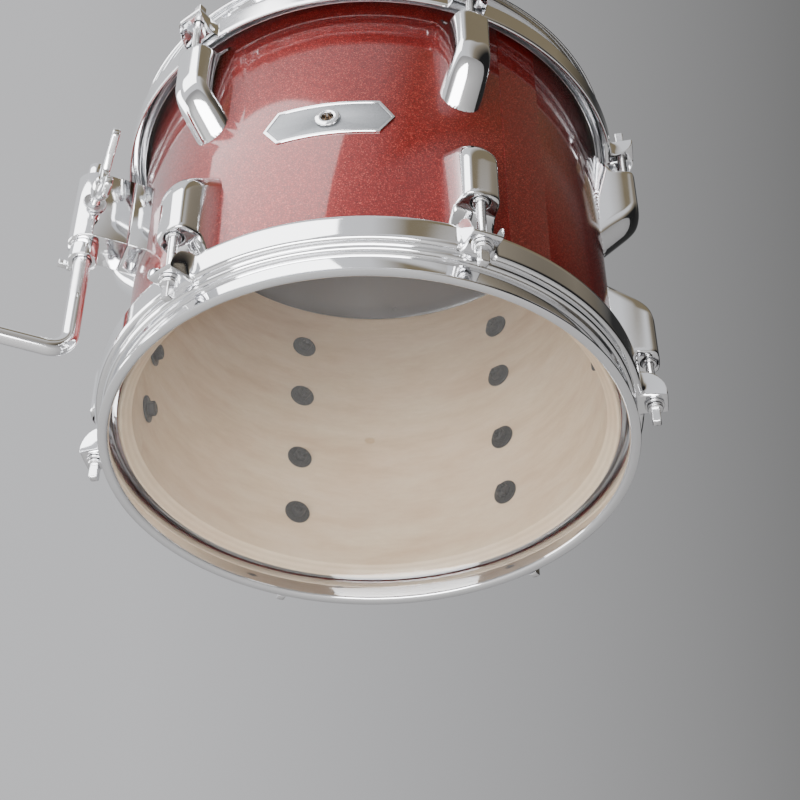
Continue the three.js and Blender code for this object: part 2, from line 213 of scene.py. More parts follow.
def settled(mesh, *settings):
    """The mesh after modifiers, each given as (type, {setting: value})."""
    holder = bpy.data.objects.new("holder", mesh)
    bpy.context.scene.collection.objects.link(holder)
    for kind, values in settings:
        modifier = holder.modifiers.new(kind.lower(), kind)
        for key, value in values.items():
            setattr(modifier, key, value)
    bpy.context.view_layer.update()
    done = bpy.data.meshes.new_from_object(holder.evaluated_get(bpy.context.evaluated_depsgraph_get()))
    done.name = mesh.name
    bpy.data.objects.remove(holder)
    shade(done)
    return done


def bevelled(mesh, width, segments=3, angle=30):
    return settled(mesh, ("BEVEL", {
        "width": width * MM, "segments": segments, "limit_method": "ANGLE",
        "angle_limit": math.radians(angle), "harden_normals": False}))


def combined(mesh, others, operation="DIFFERENCE"):
    """The mesh cut by, or joined with, every (mesh, matrix) of the others, which don't touch each other."""
    work = bmesh.new()
    for other, matrix in others:
        placed = other.copy()
        placed.transform(matrix)
        work.from_mesh(placed)
    tool_mesh = bpy.data.meshes.new("tool")
    work.to_mesh(tool_mesh)
    work.free()
    tool = bpy.data.objects.new("tool", tool_mesh)
    bpy.context.scene.collection.objects.link(tool)
    done = settled(mesh, ("BOOLEAN", {"operation": operation, "solver": "EXACT", "object": tool}))
    bpy.data.objects.remove(tool)
    return done


def cylinder(radius, low, high, segments=48):
    return turned("cylinder", [(0, low), (radius, low), (radius, high), (0, high)], segments)


def piece(name, mesh, matrix, finish, body="root", nodes=()):
    """One visible piece. finish is (material, slot); its slot is not used."""
    look, slot = finish
    obj = bpy.data.objects.new(name, mesh)
    bpy.context.scene.collection.objects.link(obj)
    if not mesh.materials:
        mesh.materials.append(look)
    obj.matrix_world = matrix
    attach(obj, body)
    if nodes:
        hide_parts(*nodes)
    return obj


# ---- materials ----
class Nodes:
    """A short way to write a node tree."""

    def __init__(self, tree):
        self.tree = tree

    def add(self, kind, **sockets):
        """A node. Keys that are its properties are set, and the rest are inputs: values or links."""
        node = self.tree.nodes.new("ShaderNode" + kind)
        for key, value in sockets.items():
            if hasattr(node, key):
                setattr(node, key, value)
                continue
            self.feed(node, int(key[1:]) if key[1:].isdigit() else key.replace("_", " "), value)
        return node

    def feed(self, node, key, value):
        socket = node.inputs[key]
        if isinstance(value, bpy.types.Node):
            value = value.outputs[0]
        if isinstance(value, bpy.types.NodeSocket):
            self.tree.links.new(value, socket)
        elif hasattr(socket.default_value, "__len__") and len(value) == 3 and len(socket.default_value) == 4:
            socket.default_value = (*value, 1)
        else:
            socket.default_value = value

    def ramp(self, fac, *stops):
        """A colour ramp through (place, grey or colour) stops."""
        node = self.add("ValToRGB", Fac=fac)
        elements = node.color_ramp.elements
        while len(elements) < len(stops):
            elements.new(0.5)
        for element, (place, colour) in zip(elements, stops):
            element.position = place
            element.color = (*colour, 1) if hasattr(colour, "__len__") else (colour, colour, colour, 1)
        return node

    def noise(self, scale, vector=None, detail=3.0, roughness=0.5):
        node = self.add("TexNoise", Scale=scale, Detail=detail, Roughness=roughness)
        self.feed(node, "Vector", vector or self.place())
        return node

    def place(self):
        return self.add("TexCoord").outputs["Object"]

    def bump(self, height, strength, distance):
        return self.add("Bump", Height=height, Strength=strength, Distance=distance)

    def maths(self, operation, a, b=0.0, c=0.0):
        return self.add("Math", operation=operation, _0=a, _1=b, _2=c)

    def mixed(self, fac, a, b, blend="MIX"):
        node = self.add("Mix", data_type="RGBA", blend_type=blend, _0=fac)
        self.feed(node, 6, a)
        self.feed(node, 7, b)
        return node.outputs[2]

    def spread(self, fac, low, high):
        """fac, from 0.3 to 0.7, brought to low and high."""
        return self.add("MapRange", Value=fac, From_Min=0.3, From_Max=0.7, To_Min=low, To_Max=high)


def material(name):
    made = bpy.data.materials.new(name)
    made.use_nodes = True
    made.node_tree.nodes.clear()
    nodes = Nodes(made.node_tree)
    output = nodes.add("OutputMaterial")
    return made, nodes, output


def metal(name, colour, rough, uneven=0.05, bump=0.02, scale=60, tint=0.06):
    """Bare or plated metal: a soft haze in its gloss and a faint unevenness of its surface."""
    made, nodes, output = material(name)
    haze = nodes.noise(scale)
    low = [c * (1 - tint) for c in colour]
    shader = nodes.add("BsdfPrincipled", Metallic=1.0)
    nodes.feed(shader, "Base Color", nodes.mixed(haze, low, colour))
    nodes.feed(shader, "Roughness", nodes.spread(haze, rough, rough + uneven))
    nodes.feed(shader, "Normal", nodes.bump(nodes.noise(scale * 8), bump, 0.0002))
    nodes.feed(output, "Surface", shader)
    return made


def red_sparkle():
    """Fine red metal flakes under a clear gloss."""
    made, nodes, output = material("red_sparkle")
    flakes = nodes.add("TexVoronoi", Scale=2100.0, feature="F1")
    nodes.feed(flakes, "Vector", nodes.place())
    chance = nodes.add("SeparateColor", Color=flakes.outputs["Color"])
    clouds = nodes.noise(14, detail=2.0)
    colour = nodes.ramp(chance.outputs[0], (0.0, (0.08, 0.002, 0.001)), (0.55, (0.18, 0.004, 0.003)),
                        (0.86, (0.3, 0.012, 0.009)), (0.97, (0.48, 0.08, 0.06)))
    shader = nodes.add("BsdfPrincipled", Metallic=0.55)
    clouded = nodes.mixed(nodes.spread(clouds, 0.0, 0.25), colour, (0.2, 0.005, 0.004))
    nodes.feed(shader, "Base Color", clouded)
    nodes.feed(shader, "Roughness", nodes.ramp(chance.outputs[1], (0.0, 0.28), (1.0, 0.55)))
    nodes.feed(shader, "Normal", nodes.bump(chance.outputs[2], 0.35, 0.00012))
    nodes.feed(shader, "Coat Weight", 1.0)
    nodes.feed(shader, "Coat Roughness", 0.06)
    nodes.feed(output, "Surface", shader)
    return made


PLIES_PER_METRE = 740.0


def maple_ply():
    """Pale ply whose grain runs round the drum, with ply lines where an edge cuts across them."""
    made, nodes, output = material("maple_ply")
    xyz = nodes.add("SeparateXYZ", Vector=nodes.place())
    x, y, z = xyz.outputs
    round_angle = nodes.maths("ARCTAN2", y, x)
    squares = nodes.maths("ADD", nodes.maths("MULTIPLY", x, x), nodes.maths("MULTIPLY", y, y))
    radius = nodes.maths("SQRT", squares)
    along = nodes.add("CombineXYZ")
    nodes.feed(along, "X", nodes.maths("MULTIPLY", round_angle, 0.35))
    nodes.feed(along, "Y", nodes.maths("MULTIPLY", z, 9.0))
    nodes.feed(along, "Z", nodes.maths("MULTIPLY", radius, 2.0))
    figure = nodes.noise(9, along, 5.0, 0.55)
    fibres = nodes.noise(60, along, 4.0, 0.6)
    cloud = nodes.noise(7, detail=2.0)
    plies = nodes.add("TexWave", Scale=PLIES_PER_METRE / TAU, Vector=nodes.add("CombineXYZ", X=radius))
    base = nodes.ramp(figure, (0.3, (0.7, 0.52, 0.34)), (0.5, (0.8, 0.64, 0.45)), (0.72, (0.86, 0.72, 0.54)))
    tinted = nodes.mixed(nodes.spread(fibres, 0.0, 0.22), base, (0.52, 0.35, 0.2))
    pink = nodes.mixed(nodes.spread(cloud, 0.0, 0.25), tinted, (0.78, 0.56, 0.42))
    cut = nodes.add("MapRange", Value=radius, To_Min=0.0, To_Max=0.25)
    nodes.feed(cut, "From Min", (SHELL_INNER + 0.2) * MM)
    nodes.feed(cut, "From Max", (SHELL_INNER + 0.6) * MM)
    layered = nodes.mixed(nodes.maths("MULTIPLY", cut, plies.outputs["Fac"]), pink, (0.42, 0.27, 0.14))
    shader = nodes.add("BsdfPrincipled")
    nodes.feed(shader, "Base Color", layered)
    nodes.feed(shader, "Roughness", nodes.spread(fibres, 0.38, 0.5))
    nodes.feed(shader, "Normal", nodes.bump(fibres, 0.12, 0.0003))
    nodes.feed(output, "Surface", shader)
    return made


def film(name, veil_colour, veil, gloss_rough, haze_scale):
    """See-through film: a thin veil over what lies behind, and gloss that grows at a glancing view."""
    made, nodes, output = material(name)
    haze = nodes.noise(haze_scale, detail=2.0)
    diffuse = nodes.add("BsdfDiffuse")
    nodes.feed(diffuse, "Color", nodes.mixed(haze, [c * 0.85 for c in veil_colour], veil_colour))
    through = nodes.add("BsdfTransparent", Color=(0.985, 0.985, 0.98, 1))
    veiled = nodes.add("MixShader", _0=nodes.spread(haze, veil * 0.8, veil), _1=through, _2=diffuse)
    gloss = nodes.add("BsdfGlossy", Color=(1, 1, 1, 1))
    nodes.feed(gloss, "Roughness", nodes.spread(nodes.noise(haze_scale * 2), gloss_rough, gloss_rough * 1.6))
    facing = nodes.add("LayerWeight", Blend=0.5).outputs["Facing"]
    glance = nodes.maths("MULTIPLY_ADD", nodes.maths("POWER", facing, 5.0), 0.96, 0.04)
    nodes.feed(output, "Surface", nodes.add("MixShader", _0=glance, _1=veiled, _2=gloss))
    return made


def black_oxide():
    made, nodes, output = material("black_oxide")
    wear = nodes.noise(180, detail=4.0)
    shader = nodes.add("BsdfPrincipled", Metallic=0.7)
    nodes.feed(shader, "Base Color", nodes.mixed(wear, (0.006, 0.006, 0.008), (0.022, 0.02, 0.02)))
    nodes.feed(shader, "Roughness", nodes.spread(wear, 0.32, 0.5))
    nodes.feed(shader, "Normal", nodes.bump(wear, 0.1, 0.0002))
    nodes.feed(output, "Surface", shader)
    return made


def badge_paint():
    made, nodes, output = material("badge_paint")
    grain = nodes.noise(900, detail=2.0)
    shader = nodes.add("BsdfPrincipled", Metallic=0.6)
    nodes.feed(shader, "Base Color", nodes.mixed(grain, (0.2, 0.21, 0.22), (0.34, 0.35, 0.37)))
    nodes.feed(shader, "Roughness", nodes.spread(grain, 0.35, 0.5))
    nodes.feed(shader, "Normal", nodes.bump(grain, 0.15, 0.0001))
    nodes.feed(output, "Surface", shader)
    return made


CHROME = (metal("chrome_plate", (0.88, 0.885, 0.9), 0.045, 0.04, 0.012), "chrome")
ROD_CHROME = (metal("worn_chrome", (0.78, 0.78, 0.79), 0.14, 0.1, 0.05, 200), "chrome")
STEEL = (metal("turned_steel", (0.62, 0.63, 0.65), 0.25, 0.12, 0.08, 220), "steel")
ALUMINIUM = (metal("rolled_aluminium", (0.74, 0.75, 0.77), 0.28, 0.12, 0.06, 120), "aluminium")
BADGE_RIM = (metal("badge_rim", (0.82, 0.83, 0.85), 0.12, 0.08, 0.03, 160), "badge_plate")
RED = (red_sparkle(), "red_sparkle_wrap")
MAPLE = (maple_ply(), "maple")
CLEAR = (film("clear_head", (0.95, 0.93, 0.9), 0.025, 0.05, 8), "clear_film")
HAZY = (film("hazy_head", (0.1, 0.085, 0.088), 0.86, 0.18, 12), "hazy_film")
BLACK = (black_oxide(), "black_steel")
BADGE = (badge_paint(), "badge_plate")


# ---- shell and wrap ----
def wall_hole(radius, angle, height, low=SHELL_INNER - 9, high=WRAP_OUTER + 9):
    return cylinder(radius, low, high, 32), turn_z(angle) @ shift(0, 0, height) @ along_x()


def build_shell():
    edge = [(SHELL_INNER, 6.8), (149.2, 0.8), (150.4, 0.8), (SHELL_OUTER, 2.4)]
    outline = edge + [(r, HEIGHT - z) for r, z in edge[::-1]]
    mesh = turned("shell", filleted(outline, [0.8, 0.7, 0.7, 0.6] + [0.6, 0.7, 0.7, 0.8], 4, True), 256)
    heights = LUG_SCREWS + [HEIGHT - h for h in LUG_SCREWS]
    holes = [wall_hole(SCREW_HOLE, a, h) for a in COLUMNS for h in heights]
    holes += [wall_hole(BOLT_HOLE, BRACKET_ANGLE, h) for h in BRACKET_BOLTS]
    holes.append(wall_hole(VENT_HOLE, VENT_ANGLE, VENT_HEIGHT))
    piece("shell_ply", combined(mesh, holes), Matrix(), MAPLE, nodes=["shell"])

    low, high = WRAP_EDGE, HEIGHT - WRAP_EDGE
    inner = SHELL_OUTER + 0.05
    outline = filleted([(inner, low), (WRAP_OUTER, low), (WRAP_OUTER, high), (inner, high)], 0.2, 2, True)
    skin = combined(turned("wrap", outline, 256), [wall_hole(VENT_HOLE, VENT_ANGLE, VENT_HEIGHT)])
    piece("wrap_skin", skin, Matrix(), RED, nodes=["wrap"])
    piece("wrap_overlap", overlap_mesh(low, high), Matrix(), RED)


def overlap_mesh(low, high):
    """The wrap's outer layer where its ends lap: one clear edge, fading to almost nothing round the shell."""
    start, end, steps = -49.5, -38.0, 24
    tallest, thinnest = 0.28, 0.02
    inner = WRAP_OUTER - 0.1
    points = []
    for k in range(steps + 1):
        angle = math.radians(start + (end - start) * k / steps)
        outer = WRAP_OUTER + tallest * (1 - k / steps) + thinnest
        for r, z in ((inner, low), (outer, low), (outer, high), (inner, high)):
            points.append((r * math.cos(angle), r * math.sin(angle), z))
    last = 4 * steps
    faces = grid_faces(steps + 1, 4, False, True) + [(3, 2, 1, 0), (last, last + 1, last + 2, last + 3)]
    return make_mesh("overlap", points, faces)


# ---- heads ----
FILM = 0.3
FILM_MIDDLE = 0.18       # end-local height of the middle of the film's thickness
FILM_FLAT = 152.0        # radius at which the film turns over the bearing edge
FILM_STEPS = 24


def build_heads():
    corners = [(0, FILM_MIDDLE), (FILM_FLAT, FILM_MIDDLE), (154.6, 3.0), (154.75, 12.8)]
    path = [(FILM_FLAT * k / FILM_STEPS, FILM_MIDDLE) for k in range(FILM_STEPS)]
    path += filleted(corners, [0, 1.5, 3.0, 0], 8)[1:]
    skin = turned("film", band(path, FILM, 1), 256)
    channel = filleted([(155.6, 13.6), (155.6, 5.2), (159.0, 5.2), (159.0, 13.6)], 1.0, 4)
    flesh = turned("flesh_hoop", band(channel, 0.7, 2), 192)
    for end, finish in (("resonant", CLEAR), ("batter", HAZY)):
        head = skin.copy()
        head.name = f"{end}_film"
        piece(f"{end}_head_film", head, ENDS[end], finish, nodes=[f"{end}_film"])
        piece(f"{end}_head_channel", flesh, ENDS[end], ALUMINIUM, nodes=[f"{end}_flesh_hoop"])


# ---- triple-flanged hoop ----
EAR_FLAT = 8.0          # half-width of an ear's flat part
EAR_BENT = 12.5         # where the flange has turned down into the skirt
EAR_HOLE = 3.6
EAR_SPAN = 6.0          # degrees each side of a rod within which the hoop is sampled finely


def hoop_outline(angle):
    """The steel's outline at one angle: flat out at an ear, turned down to a skirt elsewhere."""
    offset = min(abs((angle - c + 180) % 360 - 180) for c in COLUMNS) * math.radians(1) * ROD_CIRCLE
    t = min(max((offset - EAR_FLAT) / (EAR_BENT - EAR_FLAT), 0), 1)
    bend = math.pi / 2 * t * t * (3 - 2 * t)
    radius = 1.6 + 3.0 * math.sin(2 * bend)
    start = STRIP_START - 2.0 * math.sin(2 * bend)
    inner = filleted([(161.1, -12.5), (156.4, -12.5), (156.4, 3.2), (160.7, 3.2), (160.7, EAR_PLANE),
                      (start, EAR_PLANE)], [0, 1.7, 1.6, 1.5, 1.4, 0], 5)
    length = STRIP_LENGTH + STRIP_START - start
    strip = []
    for along in [*np.linspace(0, STRIP_FINE, 13)[1:], *np.linspace(STRIP_FINE, length, 7)[1:]]:
        turned_by = min(along / radius, bend)
        beyond = max(along - radius * bend, 0)
        strip.append((start + radius * math.sin(turned_by) + beyond * math.cos(bend),
                      EAR_PLANE + radius * (1 - math.cos(turned_by)) + beyond * math.sin(bend)))
    return band(inner + strip, HOOP_STEEL)


def hoop_mesh():
    points, angles = [], []
    for column in sorted(COLUMNS):
        angles += [*np.linspace(column - EAR_SPAN, column + EAR_SPAN, 85)]
        angles += [*np.linspace(column + EAR_SPAN, column + 60 - EAR_SPAN, 49)[1:-1]]
    for angle in angles:
        c, s = math.cos(math.radians(angle)), math.sin(math.radians(angle))
        outline = hoop_outline(angle)
        points += [(r * c, r * s, z) for r, z in outline]
    body = make_mesh("hoop", points, grid_faces(len(angles), len(outline), True, True), 60)
    holes = [(cylinder(EAR_HOLE, 0, 15, 40), turn_z(a) @ shift(ROD_CIRCLE, 0, 0)) for a in COLUMNS]
    return combined(body, holes)


def build_hoops():
    mesh = hoop_mesh()
    for end, matrix in ENDS.items():
        piece(f"{end}_flanged_hoop", mesh, matrix, CHROME, nodes=[f"{end}_hoop"])


# ---- lug casting: a rounded solid found along rays from inside it ----
LUG_FACE = 38.5
LUG_TIP = 22.5
LUG_END = 102.5
LUG_CREST = 178.5
LUG_HALF = 14.2
LUG_SLANT = 0.86
LUG_DRAFT = 0.1714       # how fast the sides come together towards the crest
LUG_FOOT = 154.6         # radius of the outer end of the sloping foot, at the tip
LUG_FOOT_RUN = 9.4       # how far the foot goes outwards on its way to the face
LUG_MOUTH = 5.6          # radius of the opening that the swivel nut sits in
LUG_MOUTH_DEPTH = 20.0
LUG_MOUTH_CHAMFER = 0.5
LUG_ROUNDING = 1.5
LUG_SHOULDER = 11.0      # rounding where the crest turns into the leaning end


def smooth_max(a, b, k):
    h = np.maximum(k - np.abs(a - b), 0)
    return np.maximum(a, b) + h * h / (4 * k)


def lug_field(p):
    """Below zero inside the casting. p holds (radial, tangential, end-local height) rows."""
    u, v, z = p[:, 0], np.abs(p[:, 1]), p[:, 2]
    crest = u - LUG_CREST
    side = (v - LUG_HALF + (u - 156) * LUG_DRAFT) * 0.9856
    lean = np.maximum(z + LUG_SLANT * (u - WRAP_OUTER) - (LUG_END - LUG_HALF), 0)
    arch = (np.hypot(v, lean) - LUG_HALF) * 0.85
    foot = ((u - LUG_FOOT) * (LUG_FACE - LUG_TIP) - (z - LUG_TIP) * LUG_FOOT_RUN) / 18.56
    face = -smooth_max(-(LUG_FACE - z), -foot, 1.2)
    back = WRAP_OUTER - 0.6 - np.hypot(u, v)
    tip = LUG_TIP - z
    shoulder = smooth_max(arch, crest, LUG_SHOULDER)
    outside = smooth_max(smooth_max(side, arch, LUG_ROUNDING), shoulder, 2 * LUG_ROUNDING)
    outside = smooth_max(outside, face, LUG_ROUNDING)
    return np.maximum(np.maximum(outside, back), tip)


def ray_hits(origins, directions, reach=90.0):
    """How far each ray goes before it leaves the casting."""
    low, high = np.zeros(len(origins)), np.full(len(origins), reach)
    for _ in range(40):
        middle = (low + high) / 2
        inside = lug_field(origins + directions * middle[:, None]) < 0
        low, high = np.where(inside, middle, low), np.where(inside, high, middle)
    return low


def lug_mesh():
    """Rings of ray hits, seen from two points inside the casting and the line between, and the nut's bore."""
    around = 144
    near = np.array([ROD_CIRCLE, 0, 58.0])
    far = np.array([160.0, 0, 84.0])
    rim, deep = LUG_MOUTH + LUG_MOUTH_CHAMFER, LUG_FACE + LUG_MOUTH_DEPTH
    first = math.atan2(rim, near[2] - LUG_FACE)
    stations = [(near, a) for a in np.linspace(first, math.pi / 2, 34)]
    stations += [(near + (far - near) * t, math.pi / 2) for t in np.linspace(0, 1, 26)[1:]]
    stations += [(far, a) for a in np.linspace(math.pi / 2, math.pi, 30)[1:]]
    swing = np.arange(around) * TAU / around
    rings = []
    for origin, polar in stations:
        directions = np.column_stack([np.cos(swing) * math.sin(polar), np.sin(swing) * math.sin(polar),
                                      np.full(around, -math.cos(polar))])
        rings.append(origin + directions * ray_hits(np.tile(origin, (around, 1)), directions)[:, None])
    mouth = [(0.01, deep), (LUG_MOUTH, deep), (LUG_MOUTH, LUG_FACE + LUG_MOUTH_CHAMFER),
             (LUG_MOUTH + 0.12, LUG_FACE + 0.15), (rim, LUG_FACE)]
    bore = []
    for r, z in mouth:
        bore.append(np.column_stack([ROD_CIRCLE + r * np.cos(swing), r * np.sin(swing), np.full(around, z)]))
    points = np.vstack(bore + rings)
    return make_mesh("lug", points, grid_faces(len(bore) + len(rings), around, False, True), 50)


def nut_mesh():
    """Swivel nut: a collar that shows in the lug's mouth, on a longer barrel. Its own thread isn't made."""
    return turned("swivel_nut", filleted([
        (2.95, 36.9), (4.4, 36.9), (4.7, 38.2), (4.7, 39.6), (5.0, 39.8), (5.0, 58.0), (2.95, 58.0)],
        [0.2, 0.7, 0.3, 0.2, 0.3, 0.4, 0.2], 4, True), 48)


# ---- threaded and headed parts, lofted from rings whose radius may change round them ----
def polygon_radius(angles, sides, flat, corner):
    """Distance to a polygon's side, flat from its centre, no further than its rounded corner."""
    sector = TAU / sides
    local = (angles + sector / 2) % sector - sector / 2
    return np.minimum(flat / np.cos(local), corner)


def loft(name, rings, around, sharp=40):
    """Closed skin through rings given as (height, radius at each angle)."""
    swing = np.arange(around) * TAU / around
    points = []
    for height, radius in rings:
        spread = np.broadcast_to(radius, around)
        points += list(zip(spread * np.cos(swing), spread * np.sin(swing), np.broadcast_to(height, around)))
    return make_mesh(name, points, grid_faces(len(rings), around, False, True), sharp)


def thread_rings(radius, low, high, pitch, depth, around, per_turn=6):
    """Rings of a helical thread that fades in over its first turn."""
    swing = np.arange(around) / around
    rings = []
    for height in np.arange(low, high, pitch / per_turn):
        phase = (height / pitch - swing) % 1
        fade = min((height - low) / pitch, 1)
        rings.append((height, radius - depth * fade * (1 - np.abs(2 * phase - 1))))
    return rings


def rod_mesh():
    """Tension rod: a square head on a collar, a plain shank and a thread, along +Z from the hoop."""
    around = 64
    pitch, depth = 1.0583, 0.42
    swing = np.arange(around) * TAU / around
    square = polygon_radius(swing, 4, 2.7, 3.62)
    rings = [(-8.6, 0.001), (-8.6, 2.1), (-8.35, polygon_radius(swing, 4, 2.35, 2.95)), (-7.7, square)]
    rings += [(-7.6, square), (1.2, square), (1.6, square * 0.98), (1.75, 3.9), (1.9, 4.6), (2.2, 4.88)]
    rings += [(3.9, 4.88), (4.25, 4.6), (4.3, 2.95), (4.8, 2.75), (12.0, 2.75), (13.0, 2.72)]
    rings += thread_rings(2.72, 14.0, 54.6, pitch, depth, around)
    rings += [(55.0, 2.3), (56.0, 1.7), (56.0, 0.001)]
    return loft("tension_rod", rings, around, 45)


def rod_washer_mesh():
    return turned("rod_washer", filleted([(3.1, 4.6), (6, 4.6), (6, 6.1), (3.1, 6.1)], 0.35, 3, True), 48)


def screw_mesh():
    """A hexagon head with a cross recess, its shank going into the lug, along +Z."""
    around = 72
    swing = np.arange(around) * TAU / around
    wall = SHELL_INNER - 0.5
    hexagon = polygon_radius(swing, 6, 4.35, 4.95)
    cross = np.minimum(np.abs(np.cos(swing)), np.abs(np.sin(swing)))
    recess = np.clip((0.28 - cross) / 0.12, 0, 1)
    top = wall - 6.1
    rings = [(top + 1.9, 0.001), (top + 1.8, 0.5), (top + 0.25 + 1.2 * recess, 1.1)]
    rings += [(top + 0.05 + 1.0 * recess, 1.9), (top + 0.05 + 0.6 * recess, 2.6)]
    rings += [(top, 3.1), (top + 0.1, 3.6)]
    rings += [(top + 0.55, hexagon * 0.95), (top + 1.0, hexagon), (wall - 1.75, hexagon)]
    rings += [(wall - 1.6, hexagon * 0.98), (wall - 1.55, 2.35), (wall + 2, 2.3), (160, 2.3), (160, 0.001)]
    return loft("lug_screw", rings, around, 35)


def screw_washer_mesh():
    """Dished round washer that lies against the inner wall."""
    return turned("screw_washer", filleted([
        (2.5, 141.4), (5.6, 141.3), (8.75, 141.9), (8.75, 143.1), (2.5, 142.9)], [0.2, 0.8, 0.5, 0.3, 0.2],
        3, True), 64)


def build_lugs_and_rods():
    lug, nut, rod, washer = lug_mesh(), nut_mesh(), rod_mesh(), rod_washer_mesh()
    screw, dish = screw_mesh(), screw_washer_mesh()
    for end, matrix in ENDS.items():
        for number, angle in enumerate(COLUMNS, 1):
            column = matrix @ turn_z(angle)
            rod_place = column @ shift(ROD_CIRCLE, 0, 0)
            piece(f"{end}_lug_casting_{number}", lug, column, CHROME, nodes=[f"{end}_lug_{number}"])
            piece(f"{end}_swivel_nut_{number}", nut, rod_place, ROD_CHROME)
            for k, height in enumerate(LUG_SCREWS, 1):
                place = column @ shift(0, 0, height) @ along_x()
                piece(f"{end}_lug_screw_{number}_{k}", screw, place, BLACK)
                piece(f"{end}_screw_washer_{number}_{k}", dish, place, BLACK)
            rod_body = f"{end}_rod_{number}"
            piece(f"{end}_tension_rod_{number}", rod, rod_place, ROD_CHROME, rod_body, [rod_body])
            washer_body = f"{end}_rod_washer_{number}"
            piece(f"{end}_pressed_washer_{number}", washer, rod_place, ROD_CHROME, washer_body, [washer_body])


# ---- badge and vent ----
BADGE_LENGTH = 39.5      # half of it, to the points at its ends
BADGE_STRAIGHT = 30.5    # half of its straight sides
BADGE_HEIGHT = 13.4      # half of it
BADGE_OUTLINE = [
    (-BADGE_LENGTH, 0), (-BADGE_STRAIGHT, -BADGE_HEIGHT), (BADGE_STRAIGHT, -BADGE_HEIGHT),
    (BADGE_LENGTH, 0), (BADGE_STRAIGHT, BADGE_HEIGHT), (-BADGE_STRAIGHT, BADGE_HEIGHT)]
BADGE_SIDE_STEPS = 14


def badge_loop(inset, rise):
    """The badge's outline moved inwards, bent round the shell and raised off it."""
    corners = [Vector(p) for p in BADGE_OUTLINE]
    lines = []
    for a, b in zip(corners, corners[1:] + corners[:1]):
        along = (b - a).normalized()
        lines.append((a + Vector((-along.y, along.x)) * inset, along))
    moved = []
    for (p, d), (q, e) in zip(lines[-1:] + lines[:-1], lines):
        t = (q - p).cross(e) / d.cross(e)
        moved.append(p + d * t)
    loop = []
    for a, b in zip(moved, moved[1:] + moved[:1]):
        loop += [a.lerp(b, k / BADGE_SIDE_STEPS) for k in range(BADGE_SIDE_STEPS)]
    return [on_shell(p.x, p.y, rise) for p in loop]


def badge_circle(radius, rise):
    """A circle round the vent with as many points as the badge's outline."""
    outline = [Vector(p) for p in BADGE_OUTLINE]
    loop = []
    for a, b in zip(outline, outline[1:] + outline[:1]):
        loop += [a.lerp(b, k / BADGE_SIDE_STEPS).normalized() * radius for k in range(BADGE_SIDE_STEPS)]
    return [on_shell(p.x, p.y, rise) for p in loop]


def on_shell(x, y, rise):
    """A point of the badge: x round the shell from the vent, y up it, rise off the wrap."""
    angle = math.radians(VENT_ANGLE) + x / BADGE_INNER
    r = BADGE_INNER + rise
    return r * math.cos(angle), r * math.sin(angle), VENT_HEIGHT + y


def build_badge():
    rim = [badge_loop(i, h) for i, h in ((0, 0), (0, 0.6), (0.35, 0.95), (1.7, 0.95), (2.1, 0.6), (2.1, 0))]
    face = [badge_loop(i, h) for i, h in ((2.2, 0), (2.2, 0.5), (2.5, 0.55), (4.5, 0.55))]
    face += [badge_circle(r, h) for r, h in ((5.9, 0.55), (5.7, 0.45), (5.7, 0))]
    count = len(BADGE_OUTLINE) * BADGE_SIDE_STEPS
    parts = [("badge_rim", rim, BADGE_RIM, []), ("badge_plate", face, BADGE, ["badge"])]
    for name, loops, finish, nodes in parts:
        mesh = make_mesh(name, np.vstack(loops), grid_faces(len(loops), count, True, True))
        piece(name, mesh, Matrix(), finish, nodes=nodes)
    outline = filleted([
        (3.6, 141.0), (7.6, 141.6), (7.6, 142.8), (5, 142.8), (5, 153.6), (7.6, 153.7), (7.2, 154.8),
        (5.0, 155.2), (3.6, 155.0)], [0.5, 0.4, 0.3, 0.2, 0.2, 0.3, 0.5, 0.5, 0.6], 4, True)
    place = turn_z(VENT_ANGLE) @ shift(0, 0, VENT_HEIGHT) @ along_x()
    piece("vent_eyelet", turned("vent", outline, 64), place, CHROME, nodes=["vent_grommet"])


# ---- holder bracket, whose own +X points away from the drum's axis ----
BRACKET = turn_z(BRACKET_ANGLE)


